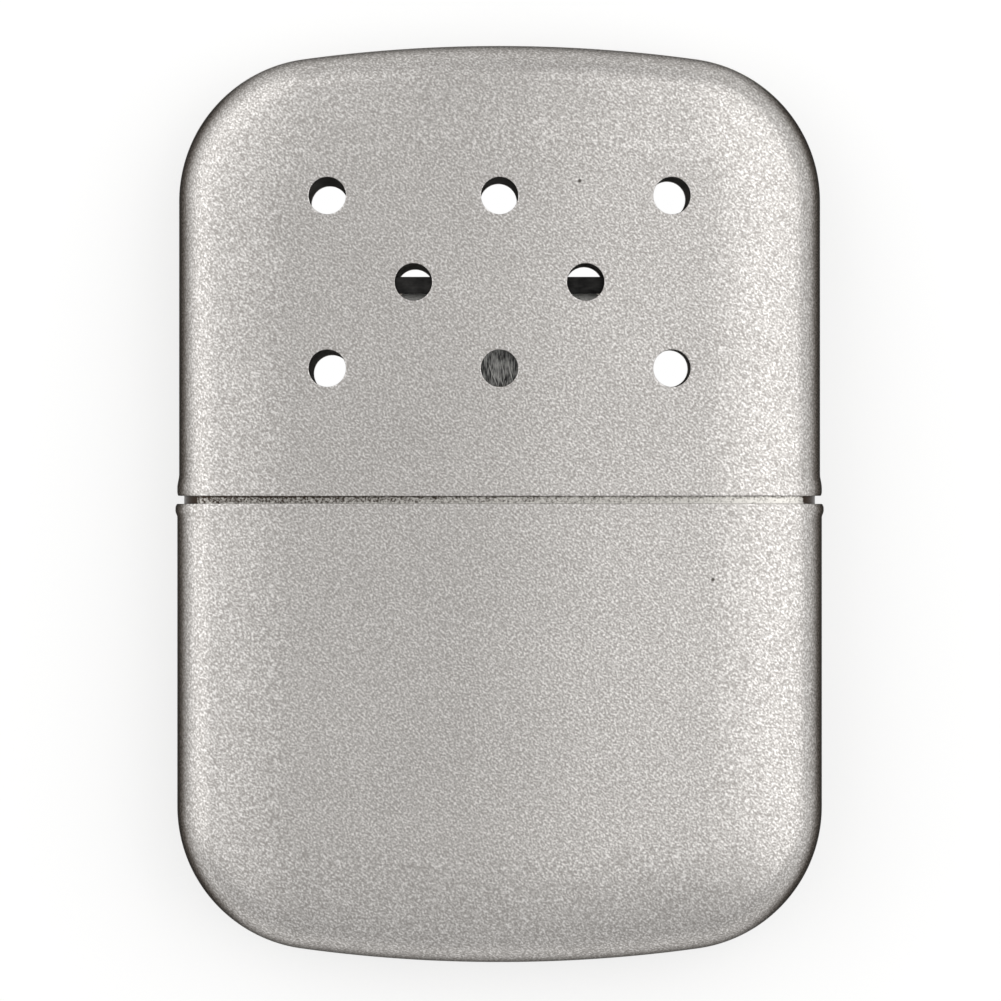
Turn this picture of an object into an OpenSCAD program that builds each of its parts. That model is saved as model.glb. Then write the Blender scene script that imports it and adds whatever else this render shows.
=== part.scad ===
// Catalytic hand warmer: a slim painted case that lies on its back.
// A perforated lid slides over the collar of a fuel tank packed with cotton.
// An oval burner with a platinised glass-fibre pad pushes onto the tank's neck.
//
// X is the case's width, +Y runs from the tank towards the lid, and +Z is up,
// out of the front face. The origin is the middle of the footprint, on the table.
// Each sub-part is drawn on the case's mid-plane, measured from the tank's rim
// or from the tank top, and in_case() or on_tank_top() moves it to its place.

/* [Case] */
// Width of the tank
case_w = 70; // [60:0.5:90]
// Thickness of the case, front face to back face
case_t = 13; // [11:0.1:17]
// Height of the tank, from its end to its rim
tank_h = 49.8; // [40:0.1:65]
// Height of the lid, from its rim to its end
lid_h = 48.9; // [42:0.1:65]
// Gap left between the lid's rim and the tank's rim
seam_gap = 0.8; // [0.3:0.1:2]
// Corner radius of the case, seen from the front
corner_r = 15.6; // [11:0.1:18]
// Radius of the shallow crown at each end, seen from the front
crown_r = 157; // [110:1:300]
// Radius of the case's edge in section, as a share of half the thickness
edge_share = 0.85; // [0.7:0.01:0.92]
// Sheet thickness of the painted shells
shell_wall = 0.4; // [0.3:0.05:0.5]
// How much narrower the lid is than the tank at each side
lid_trim = 0.2; // [0:0.05:0.3]
// Sideways swell of the bead along the tank's rim
bead_swell = 0.2; // [0.1:0.05:0.4]
// Height of that bead
bead_h = 0.9; // [0.5:0.1:1.5]

/* [Vents] */
// Diameter of a vent hole
vent_d = 4; // [3:0.1:5]
// Distance between neighbouring holes of a row
vent_pitch_x = 18.5; // [14:0.1:21]
// Distance between rows
vent_pitch_y = 9.27; // [7:0.01:12]
// Height of the middle row over the tank's rim
vent_mid_y = 23.8; // [20:0.05:30]
// Turn in degrees of the back pattern, which is pierced on its own
vent_back_turn = 0.8; // [0:0.1:2]

/* [Tank top] */
// Height of the collar over the tank's rim
collar_h = 7; // [5:0.1:9]
// Depth of the collar's skirt inside the tank
collar_depth = 6; // [4:0.1:9]
// Sheet thickness of the tank top
collar_wall = 0.35; // [0.3:0.05:0.5]
// Gap between the collar and the lid's inside
collar_fit = 0.15; // [0.1:0.05:0.25]
// Radius along the collar's front and back top edges
collar_edge_r = 1.1; // [0.8:0.1:1.3]
// Radius at the collar's top corners
collar_corner_r = 2.4; // [1.2:0.1:4]
// Height of a grip dimple on the collar
dimple_h = 0.1; // [0.05:0.01:0.1]
// Diameter of a grip dimple
dimple_d = 2.4; // [1.5:0.1:4]
// Distance of a grip dimple from the middle
dimple_x = 17; // [12:0.5:19]

/* [Neck] */
// Height of the neck over the tank top
neck_h = 4.4; // [3.5:0.1:5.5]
// Length of the neck below the tank top's upper face
neck_depth = 3.4; // [2.5:0.1:5]
// Sheet thickness of the neck
neck_wall = 0.4; // [0.3:0.05:0.5]
// Width of the neck's flanges
flange_w = 0.65; // [0.5:0.05:0.7]
// Thickness of the neck's flanges
flange_th = 0.4; // [0.3:0.05:0.6]
// Thickness of the gasket under the upper flange
gasket_th = 0.3; // [0.2:0.05:0.5]
// Depth of the felt's top below the tank top's upper face
felt_drop = 0.4; // [0:0.1:1]

/* [Burner] */
// Width of the burner's cage
cage_w = 28.4; // [25:0.1:32]
// Gap between the burner's cap and the lid's inside
lid_clearance = 0.95; // [0.7:0.05:1.2]
// Height of the burner's top over the tank top
burner_h = 17.4; // [15:0.1:21]
// Corner radius of the cage in plan
cage_r = 2.2; // [1.5:0.1:3]
// Sheet thickness of the cage and the cap
cage_wall = 0.3; // [0.25:0.05:0.4]
// Sheet thickness of the socket
socket_wall = 0.35; // [0.3:0.05:0.45]
// Gap between the neck and the burner's socket
socket_fit = 0.08; // [0.05:0.01:0.1]
// Corner radius of a cage window
window_r = 1.5; // [0.5:0.1:2]
// Depth of the cap's skirt
cap_h = 1.8; // [1.2:0.1:2.5]
// Thickness of the catalyst cloth
cloth_th = 0.5; // [0.4:0.05:0.6]
// Thickness of the glass mat behind the cloth
mat_th = 1; // [0.6:0.1:1.2]
// Thickness of the support gauze
gauze_th = 0.25; // [0.2:0.05:0.3]

/* [Hidden] */
$fn = 96;
crown_fn = 360;                           // the crown's arcs are long and shallow
crown_step = 0.01;                        // how far the crown lies inside the corners
crown_lap = 0.02;                         // how far it runs on into them, in degrees
cut = 1;                                  // how far a cutting solid runs past what it cuts

case_h = tank_h + seam_gap + lid_h;
rim_y = tank_h - case_h / 2;              // the tank's rim, from the middle of the footprint
half_t = case_t / 2;
core_x = case_w / 2 - corner_r;           // a corner's centre, from the middle

// The case's edge is an arc of radius edge_r that runs into a wide arc of radius soft_r,
// which meets the flat face above the corner's centre. soft_r is a little under the radius
// at which the two arcs would just touch, so they cross in a crease too slight to see.
edge_r = edge_share * half_t;
edge_x = corner_r - edge_r;
soft_r = (edge_x * edge_x + half_t * half_t - edge_r * edge_r) / (2 * (half_t - edge_r)) - 0.1;

collar_in = shell_wall + collar_fit;      // insets are measured from the case's surface
skirt_top = -1;                           // the skirt steps in to the collar below the rim
packing_gap = 0.3;                        // free space round the cotton

cap_t = case_t - 2 * (shell_wall + lid_clearance);
cage_t = cap_t - 2 * cage_wall;
cage_in_t = cage_t - 2 * cage_wall;
cage_in_w = cage_w - 2 * cage_wall;
cage_in_r = cage_r - cage_wall;

socket_margin = 0.17;                     // the socket clears the cage's inside by this
neck_t = cage_in_t - 2 * (socket_wall + socket_fit + socket_margin);
neck_w = cage_w - 6;
seat_y = gasket_th + flange_th;           // the burner stands on the neck's upper flange
shoulder_y = neck_h + 0.15;               // underside of the socket's shoulder
cage_y = shoulder_y + socket_wall;        // inner floor of the cage
plate_th = 0.3;
pack_y = cage_y + plate_th;               // the pads stand on the vapour plate

pad_fit = 0.15;                           // gap between the cloth and the cage
cloth_w = cage_w - 2 * cage_r;
cloth_t = cage_in_t - 2 * pad_fit;
cloth_top = burner_h - cage_wall - 0.6;
cloth_fold_r = 2.1;
pad_step = 0.5;                           // each layer is this much narrower at each end
mat_t = cloth_t - 2 * cloth_th;
gauze_t = mat_t - 2 * mat_th;
core_t = gauze_t - 2 * gauze_th - 0.2;

window_w = cloth_w - 2;
window_low = pack_y + 0.4;
window_high = burner_h - cap_h + 0.3;     // the cap's skirt hides the window's top edge
lip_th = 0.3;
lip_w = 1.2;                              // length of the lip crimped under each end
seam_t = 2;                               // width of the lap seam at each end of the cage

// Extrudes a shape of the X-Z plane along Y.
module along_y(y_low, y_high) {
  translate([0, y_high, 0])
    rotate([90, 0, 0])
      linear_extrude(y_high - y_low)
        children();
}

// Extrudes a shape of the Z-Y plane along X, both ways from the middle.
module along_x(width) {
  rotate([0, 90, 0])
    linear_extrude(width, center = true)
      children();
}

module oval(w, t) {
  square([w - t, t], center = true);
  for (side = [-1, 1])
    translate([side * (w - t) / 2, 0])
      circle(d = t);
}

module rounded(w, t, r) {
  square([w - 2 * r, t], center = true);
  square([w, t - 2 * r], center = true);
  for (side = [-1, 1], face = [-1, 1])
    translate([side * (w / 2 - r), face * (t / 2 - r)])
      circle(r = r);
}

// A rectangle from y_low to y_high with its two top corners rounded.
module arched(w, y_low, y_high, r) {
  translate([-w / 2, y_low])
    square([w, y_high - r - y_low]);
  translate([r - w / 2, y_low])
    square([w - 2 * r, y_high - y_low]);
  for (side = [-1, 1])
    translate([side * (w / 2 - r), y_high - r])
      circle(r = r);
}

// The case's edge in section, from the flat face (x = 0) to the rim, inset by e.
module edge_section(e) {
  soft_end = (soft_r - e) * edge_x / norm([edge_x, soft_r - half_t]);
  intersection() {
    translate([0, half_t - soft_r])
      circle(r = soft_r - e);
    translate([0, soft_r - half_t])
      circle(r = soft_r - e);
    union() {
      translate([0, -half_t])
        square([soft_end, case_t]);
      translate([edge_x, 0])
        circle(r = edge_r - e);
    }
  }
}

// The whole case in section, inset by e, and wider by spread at each side.
module case_section(e, spread = 0) {
  square([2 * (core_x + spread), case_t - 2 * e], center = true);
  for (side = [0, 1])
    mirror([side, 0])
      translate([core_x + spread, 0])
        edge_section(e);
}

// A drawn form inset by e, closed at y = h - e and cut off straight at y = low. The crown's
// sweep lies crown_step inside the corners' sweeps and laps into them.
module drawn_form(h, e, low = 0, spread = 0) {
  arc_r = crown_r - corner_r;             // the corner centres lie on the crown's inner arc
  corner_x = core_x + spread;
  turn = asin(corner_x / arc_r);
  crown_y = h - crown_r;
  corner_y = crown_y + arc_r * cos(turn);
  crown_e = e + crown_step;
  fill = arc_r * (1 - cos(turn)) + cut;   // reaches back below the corner centres
  along_y(low, corner_y)
    case_section(e, spread);
  for (side = [0, 1])
    mirror([side, 0, 0])
      translate([corner_x, corner_y, 0])
        rotate_extrude(angle = 90 - turn)
          edge_section(e);
  translate([0, crown_y, 0])
    rotate_extrude(start = 90 - turn - crown_lap, angle = 2 * (turn + crown_lap), $fn = crown_fn)
      translate([arc_r, 0]) {
        edge_section(crown_e);
        translate([-fill, crown_e - half_t])
          square([fill, case_t - 2 * crown_e]);
      }
}

// Places what is measured from the tank's rim.
module in_case() {
  translate([0, rim_y, half_t])
    children();
}

// Places what is measured from the upper face of the tank top.
module on_tank_top() {
  in_case()
    translate([0, collar_h, 0])
      children();
}

module tank_form(e, high) {
  mirror([0, 1, 0])
    drawn_form(tank_h, e, -high);
}

module tank_shell() {
  color("#b4b0ad")
    in_case()
      difference() {
        union() {
          tank_form(0, 0);
          along_y(-bead_h, 0)
            case_section(0, bead_swell);
        }
        tank_form(shell_wall, cut);
      }
}

// The collar as a solid block. Three facets round each top edge off, seen from the front
// and from the side. Their outlines stand just clear of the block's own faces.
module collar_block(y_low, shrink) {
  inset = collar_in + shrink;
  top = collar_h - shrink;
  clear = 0.02;
  intersection() {
    along_y(y_low, top)
      case_section(inset, -lid_trim);
    linear_extrude(case_t, center = true)
      arched(case_w - 2 * (lid_trim + inset - clear), y_low - clear, top + clear,
             collar_corner_r - shrink, $fn = 12);
    along_x(case_w)
      arched(case_t - 2 * (inset - clear), y_low - clear, top + clear,
             collar_edge_r - shrink, $fn = 12);
  }
}

module grip_dimples() {
  dimple_r = (dimple_h * dimple_h + dimple_d * dimple_d / 4) / (2 * dimple_h);
  surface_z = half_t - collar_in;
  for (side = [-1, 1], face = [-1, 1])
    intersection() {
      translate([side * dimple_x, collar_h / 2, face * (surface_z + dimple_h - dimple_r)])
        sphere(r = dimple_r);
      translate([side * dimple_x, collar_h / 2, face * surface_z])
        cube([dimple_d + cut, dimple_d + cut, collar_wall], center = true);
    }
}

module tank_top() {
  step_low = skirt_top - collar_wall;
  color("#8f8d8a")
    in_case()
      difference() {
        union() {
          collar_block(step_low, 0);
          along_y(-collar_depth, skirt_top)
            case_section(shell_wall);
          grip_dimples();
        }
        collar_block(step_low - cut, collar_wall);
        along_y(-collar_depth - cut, step_low)
          case_section(shell_wall + collar_wall);
        along_y(0, collar_h + cut)
          oval(neck_w, neck_t);
      }
}

module neck() {
  color("#b59a5c")
    on_tank_top()
      difference() {
        union() {
          along_y(-neck_depth, neck_h)
            oval(neck_w, neck_t);
          for (flange_y = [gasket_th, -collar_wall - flange_th])
            along_y(flange_y, flange_y + flange_th)
              oval(neck_w + 2 * flange_w, neck_t + 2 * flange_w);
        }
        along_y(-neck_depth - cut, neck_h + cut)
          oval(neck_w - 2 * neck_wall, neck_t - 2 * neck_wall);
      }
}

module neck_gasket() {
  color("#3a2f28")
    on_tank_top()
      along_y(0, gasket_th)
        difference() {
          oval(neck_w + 2 * flange_w, neck_t + 2 * flange_w);
          oval(neck_w, neck_t);
        }
}

module mouth_felt() {
  felt_in = neck_wall + 0.05;
  color("#d9d4c6")
    on_tank_top()
      along_y(-neck_depth, -felt_drop)
        oval(neck_w - 2 * felt_in, neck_t - 2 * felt_in);
}

// The cotton between x_low and x_high: it fills the tank and stands up to top in the collar.
module batting(x_low, x_high, top) {
  skirt_low = -collar_depth - packing_gap;
  collar_low = skirt_top - collar_wall - packing_gap;
  in_case()
    intersection() {
      union() {
        intersection() {
          tank_form(shell_wall + packing_gap, 0);
          along_y(-tank_h, skirt_low)
            square([case_w, case_t], center = true);
        }
        along_y(skirt_low - cut, collar_low)
          case_section(shell_wall + collar_wall + packing_gap);
        along_y(collar_low - cut, top)
          case_section(collar_in + collar_wall + packing_gap + collar_edge_r / 2);
      }
      translate([x_low, -tank_h, -half_t])
        cube([x_high - x_low, tank_h + collar_h, case_t]);
    }
}

wad_x = neck_w / 2 + flange_w + packing_gap;
side_wad_top = collar_h - collar_wall - packing_gap;
side_wad_end = case_w / 2 - lid_trim - collar_in - collar_corner_r;

module batting_left() {
  color("#f2efe6")
    batting(-side_wad_end, -wad_x - packing_gap / 2, side_wad_top);
}

module batting_centre() {
  color("#f2efe6")
    batting(packing_gap / 2 - wad_x, wad_x - packing_gap / 2, collar_h - neck_depth - packing_gap);
}

module batting_right() {
  color("#f2efe6")
    batting(wad_x + packing_gap / 2, side_wad_end, side_wad_top);
}

// One face's pattern of eight holes, from the mid-plane out through the lid.
module vent_holes(face) {
  rows = [[-1, [-1, 0, 1]], [0, [-0.5, 0.5]], [1, [-1, 0, 1]]];
  translate([0, vent_mid_y, 0])
    rotate([0, 0, face > 0 ? 0 : vent_back_turn])
      for (row = rows, step = row[1])
        translate([step * vent_pitch_x, row[0] * vent_pitch_y, face > 0 ? 0 : -case_t])
          cylinder(d = vent_d, h = case_t);
}

module lid_shell() {
  color("#b4b0ad")
    in_case()
      difference() {
        translate([0, seam_gap, 0])
          drawn_form(lid_h, 0, 0, -lid_trim);
        translate([0, seam_gap, 0])
          drawn_form(lid_h, shell_wall, -cut, -lid_trim);
        vent_holes(1);
        vent_holes(-1);
      }
}

module burner_socket() {
  bore_w = neck_w + 2 * socket_fit;
  bore_t = neck_t + 2 * socket_fit;
  lead_h = 0.6;
  color("#a3a19d")
    on_tank_top()
      difference() {
        union() {
          along_y(seat_y, cage_y)
            oval(bore_w + 2 * socket_wall, bore_t + 2 * socket_wall);
          along_y(seat_y, seat_y + lead_h)
            oval(bore_w + 3 * socket_wall, bore_t + 3 * socket_wall);
          along_y(shoulder_y, cage_y)
            rounded(cage_in_w, cage_in_t, cage_in_r);
        }
        along_y(seat_y - cut, shoulder_y)
          oval(bore_w, bore_t);
        along_y(shoulder_y - cut, cage_y + cut)
          oval(neck_w - 2, neck_t - 2);
      }
}

module vapour_plate() {
  hole_d = 1;
  hole_pitch = 2.1;
  end_gap = cage_wall + pad_fit;          // the lap seam's inner leaf passes here
  color("#a3a19d")
    on_tank_top()
      difference() {
        along_y(cage_y, pack_y)
          rounded(cage_in_w - 2 * end_gap, cage_in_t - 2 * pad_fit, cage_in_r);
        for (column = [-4 : 4], row = [-1 : 1])
          translate([column * hole_pitch, pack_y + cut, row * 0.8 * hole_pitch])
            rotate([90, 0, 0])
              cylinder(d = hole_d, h = plate_th + 2 * cut);
      }
}

// A sheet folded over like a saddle, with its legs at the front and the back.
module folded_sheet(w, t, y_high, th, r) {
  along_x(w)
    difference() {
      arched(t, pack_y, y_high, r);
      arched(t - 2 * th, pack_y - cut, y_high - th, r - th);
    }
}

module glass_wool_core() {
  wool_r = 1;
  color("#e8e6df")
    on_tank_top()
      along_y(pack_y, cloth_top - cloth_th - mat_th - gauze_th - 0.4)
        rounded(cloth_w - 8 * pad_step, core_t, wool_r);
}

module support_gauze() {
  mesh = 1.2;
  mesh_pitch = 1.9;
  first_y = pack_y + mesh_pitch;
  last_y = cloth_top - cloth_th - mat_th - mesh_pitch;
  color("#8b8986")
    on_tank_top()
      difference() {
        folded_sheet(cloth_w - 4 * pad_step, gauze_t, cloth_top - cloth_th - mat_th, gauze_th,
                     cloth_fold_r - cloth_th - mat_th);
        for (column = [-4 : 4], y = [first_y : mesh_pitch : last_y])
          translate([column * mesh_pitch, y, 0])
            cube([mesh, mesh, case_t], center = true);
      }
}

module glass_mat() {
  color("#9c9b97")
    on_tank_top()
      folded_sheet(cloth_w - 2 * pad_step, mat_t, cloth_top - cloth_th, mat_th,
                   cloth_fold_r - cloth_th);
}

module catalyst_cloth() {
  color("#6e6d6a")
    on_tank_top()
      folded_sheet(cloth_w, cloth_t, cloth_top, cloth_th, cloth_fold_r);
}

// Half of the cage's drawn wall. Below the shoulder only a crimped lip is left at each end.
module cage_half(face) {
  top = burner_h - cage_wall;
  difference() {
    along_y(shoulder_y - lip_th, top)
      rounded(cage_w, cage_t, cage_r);
    along_y(shoulder_y, burner_h)
      rounded(cage_in_w, cage_in_t, cage_in_r);
    along_y(0, shoulder_y)
      square([cage_in_w - 2 * lip_w, case_t], center = true);
    translate([0, (window_low + window_high) / 2, 0])
      linear_extrude(case_t, center = true)
        rounded(window_w, window_high - window_low, window_r);
    translate([-cage_w, 0, face > 0 ? -case_t : 0])
      cube([2 * cage_w, 2 * burner_h, case_t]);
  }
}

rivet_z = seam_t / 4;                     // the rivets pass through both leaves of the seam
rivet_ys = [cage_y + 1.6, burner_h - cap_h - 1.6];

module rivet_holes(rivet_d) {
  for (y = rivet_ys)
    translate([0, y, -rivet_z])
      rotate([0, 90, 0])
        cylinder(d = rivet_d, h = 2 * cage_w, center = true);
}

rivet_d = 0.6;

// The front half carries the seam's inner leaf at each end.
module cage_front() {
  color("#a3a19d")
    on_tank_top()
      difference() {
        union() {
          cage_half(1);
          for (side = [-1, 1])
            translate([side * (cage_in_w - cage_wall) / 2, (cage_y + burner_h - cage_wall) / 2, 0])
              cube([cage_wall, burner_h - cage_wall - cage_y, seam_t], center = true);
        }
        rivet_holes(rivet_d);
      }
}

module cage_back() {
  color("#a3a19d")
    on_tank_top()
      difference() {
        cage_half(-1);
        rivet_holes(rivet_d);
      }
}

module cage_rivets() {
  head_d = 0.95;
  head_th = 0.15;
  color("#8a8884")
    on_tank_top()
      for (side = [0, 1], y = rivet_ys)
        mirror([side, 0, 0])
          translate([cage_in_w / 2 - cage_wall - head_th, y, -rivet_z])
            rotate([0, 90, 0]) {
              cylinder(d = rivet_d, h = 2 * cage_wall + 2 * head_th);
              cylinder(d = head_d, h = head_th);
              translate([0, 0, 2 * cage_wall + head_th])
                cylinder(d = head_d, h = head_th);
            }
}

module burner_cap() {
  slot_w = 6;
  slot_t = 2.6;
  slot_pitch = 8;
  color("#4a4947")
    on_tank_top()
      difference() {
        along_y(burner_h - cap_h, burner_h)
          rounded(cage_w + 2 * cage_wall, cap_t, cage_r + cage_wall);
        along_y(0, burner_h - cage_wall)
          rounded(cage_w, cage_t, cage_r);
        for (slot = [-1 : 1])
          translate([slot * slot_pitch, 0, 0])
            along_y(0, burner_h + cut)
              oval(slot_w, slot_t);
      }
}

tank_shell();
tank_top();
neck();
neck_gasket();
mouth_felt();
batting_left();
batting_centre();
batting_right();
lid_shell();
burner_socket();
vapour_plate();
glass_wool_core();
support_gauze();
glass_mat();
catalyst_cloth();
cage_front();
cage_back();
cage_rivets();
burner_cap();
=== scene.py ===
# Catalytic hand warmer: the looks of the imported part, lying on its back and seen from above.
# Sizes in the settings are millimetres and degrees, which mm and math.radians turn.
import math
from functools import partial

import bmesh
import bpy
from mathutils import Matrix, Vector


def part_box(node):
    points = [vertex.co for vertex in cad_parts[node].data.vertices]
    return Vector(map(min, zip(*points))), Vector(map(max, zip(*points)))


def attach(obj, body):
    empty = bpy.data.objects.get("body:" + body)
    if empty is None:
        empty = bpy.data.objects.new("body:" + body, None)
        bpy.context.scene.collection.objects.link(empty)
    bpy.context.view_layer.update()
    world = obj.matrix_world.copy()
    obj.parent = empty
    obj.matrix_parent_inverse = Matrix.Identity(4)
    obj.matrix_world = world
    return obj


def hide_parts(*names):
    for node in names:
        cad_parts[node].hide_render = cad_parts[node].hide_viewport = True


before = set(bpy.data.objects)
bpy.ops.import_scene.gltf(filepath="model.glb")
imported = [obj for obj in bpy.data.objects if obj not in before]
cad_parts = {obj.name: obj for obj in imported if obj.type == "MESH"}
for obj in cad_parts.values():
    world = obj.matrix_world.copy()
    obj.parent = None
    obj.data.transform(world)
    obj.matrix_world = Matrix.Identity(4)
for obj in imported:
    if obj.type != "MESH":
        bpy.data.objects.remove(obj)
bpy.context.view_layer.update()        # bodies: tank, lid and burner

mm = 0.001
lidLow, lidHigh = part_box("lid_shell")
midZ = lidHigh.z / 2     # the case lies on its back, so its mid-plane is at this height
sharpAngle = 16          # edges that turn more than this are shaded sharp
gaps = {"curves": 0.002, "faces": 0.004, "skin": 0.002, "packed": 0.001}       # points this close are joined
points = {               # on each curve
    "edge": 41, "soft": 13, "corner": 49, "side": 16, "crown": 41, "band": 33, "vent": 64,
    "collarTop": 9, "neck": 16, "bend": 17, "along": 121, "across": 221,
}


def addNode(tree, kind, links=None, **settings):
    # kind leaves out the ShaderNode, GeometryNode or FunctionNode before it; settings are the node's properties;
    # links gives each input, by name or in a list by place, a number, colour, socket, list of sockets or node,
    # which stands for its first output
    whole = [start + kind for start in ("ShaderNode", "GeometryNode", "FunctionNode", "")
             if hasattr(bpy.types, start + kind)]
    made = tree.nodes.new(whole[0])
    for name, value in settings.items():
        setattr(made, name, value)
    if isinstance(links, list):
        links = dict(enumerate(links))
    for name, value in (links or {}).items():
        for source in value if isinstance(value, list) else [value]:
            if isinstance(source, bpy.types.Node):
                source = source.outputs[0]
            if isinstance(source, bpy.types.NodeSocket):
                tree.links.new(source, made.inputs[name])
            else:
                made.inputs[name].default_value = source
    return made


def colour(code):
    # sRGB hex to the linear colour that Blender's sockets take
    parts = [int(code[i:i + 2], 16) / 255 for i in (1, 3, 5)]
    return tuple(p / 12.92 if p <= 0.04045 else ((p + 0.055) / 1.055) ** 2.4 for p in parts) + (1,)


def startMaterial(name):
    # an empty material, what adds its nodes, and the Object coordinates that the patterns use
    material = bpy.data.materials.new(name)
    material.use_nodes = True
    material.node_tree.nodes.clear()
    add = partial(addNode, material.node_tree)
    return material, add, add("TexCoord").outputs["Object"]


def startTree(name, floats, others=None):
    # a geometry tree with a named input for each size, what adds its nodes, and its inputs
    tree = bpy.data.node_groups.new(name, "GeometryNodeTree")
    tree.interface.new_socket("Geometry", in_out="OUTPUT", socket_type="NodeSocketGeometry")
    tree.interface.new_socket("Base", in_out="INPUT", socket_type="NodeSocketGeometry")
    for size in floats:
        tree.interface.new_socket(size, in_out="INPUT", socket_type="NodeSocketFloat")
    for size, kind in (others or {}).items():
        tree.interface.new_socket(size, in_out="INPUT", socket_type=kind)
    add = partial(addNode, tree)
    return tree, add, add("NodeGroupInput").outputs


def endTree(tree, geometry, material=None):
    # the tree's result, made real where it is given its material
    if material:
        real = addNode(tree, "RealizeInstances", {"Geometry": geometry})
        geometry = addNode(tree, "SetMaterial", {"Geometry": real, "Material": material})
    addNode(tree, "NodeGroupOutput", {"Geometry": geometry})
    return tree


def asInputs(settings, *names):
    # these settings, in metres, under their inputs' names, such as "Flare From" for flareFrom
    return {"".join(" " + letter if letter.isupper() else letter for letter in name).title(): settings[name] * mm
            for name in names}


def addObject(name, data):
    made = bpy.data.objects.new(name, data)
    bpy.context.scene.collection.objects.link(made)
    return made


def settle(piece):
    # turns a piece and its modifiers into one plain mesh
    shown = piece.evaluated_get(bpy.context.evaluated_depsgraph_get())
    mesh = bpy.data.meshes.new_from_object(shown)
    piece.modifiers.clear()
    piece.data = mesh
    mesh.name = piece.name
    return piece


def growPiece(name, tree, sizes, base=None):
    # runs a geometry tree with these sizes, on base if it is given; the inputs are set before it is first evaluated
    piece = addObject(name, base.copy() if base else bpy.data.meshes.new(name))
    modifier = piece.modifiers.new(name, "NODES")
    modifier.node_group = tree
    for item in tree.interface.items_tree:
        if item.in_out == "INPUT" and item.name in sizes:
            modifier[item.identifier] = sizes[item.name]
    return settle(piece)


def faceOutwards(piece):
    mesh = bmesh.new()
    mesh.from_mesh(piece.data)
    bmesh.ops.remove_doubles(mesh, verts=mesh.verts, dist=gaps["skin"] * mm)
    bmesh.ops.recalc_face_normals(mesh, faces=mesh.faces)
    mesh.to_mesh(piece.data)
    mesh.free()


def thicken(piece, wall, even, innerFinish=0):
    # gives a skin its wall, towards the inside
    solid = piece.modifiers.new("wall", "SOLIDIFY")
    solid.thickness = wall * mm
    solid.offset = -1
    solid.use_even_offset = even
    solid.material_offset = innerFinish


def shadeSmooth(piece):
    piece.data.shade_smooth()
    piece.data.set_sharp_from_angle(angle=math.radians(sharpAngle))


def softenEdges(piece, width, overAngle):
    # rounds the edges that turn more than this angle
    rounding = piece.modifiers.new("rounding", "BEVEL")
    rounding.width = width * mm
    rounding.segments = 2
    rounding.limit_method = "ANGLE"
    rounding.angle_limit = math.radians(overAngle)
    settle(piece)
    shadeSmooth(piece)


def mount(piece, body, slot, *nodes):
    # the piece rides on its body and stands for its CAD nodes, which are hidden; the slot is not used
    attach(piece, body)
    if nodes:
        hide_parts(*nodes)


# Satin enamel with aluminium flake, sprayed on drawn steel: a warm silver grey whose flakes
# lie in fine slanting grains, a little brighter and glossier than the lacquer round them.
paint = {
    "deep": "#a19d99", "flake": "#e9e6e3", "flop": "#000000",          # flop: flake darkens at a glancing view
    "grain": 0.2, "stretch": 1.35,       # size of a grain, and how much longer than wide
    "sparkle": 1.6,                      # power that keeps the bright flakes few
    "slant": -42, "curl": 0.3,           # the grains run down to the right, a little bent
    "tone": (0.3, 0.7),                  # of the noise, from lacquer to full flake
    "cloud": 14, "cloudShare": 0.12,     # faint clouds left by the spray gun
    "roughness": (0.3, 0.42),
    "relief": 0.016, "reliefShare": 0.35,
    "crown": 0.76, "crownReach": 20,     # the drawn faces are faintly crowned from side to side
    "side": "#a9a6a3", "sideFrom": 4.2, "sideTo": 2.4,   # painted shade: darker on the two side walls,
    "sideStart": 25, "sideEnd": 32,      # not on the top and bottom ones
    "nicks": ((8.6, 34.7), (22.9, -8.1)), "nick": 0.26, "primer": "#54504c",   # two small chips in the front
}


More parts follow.
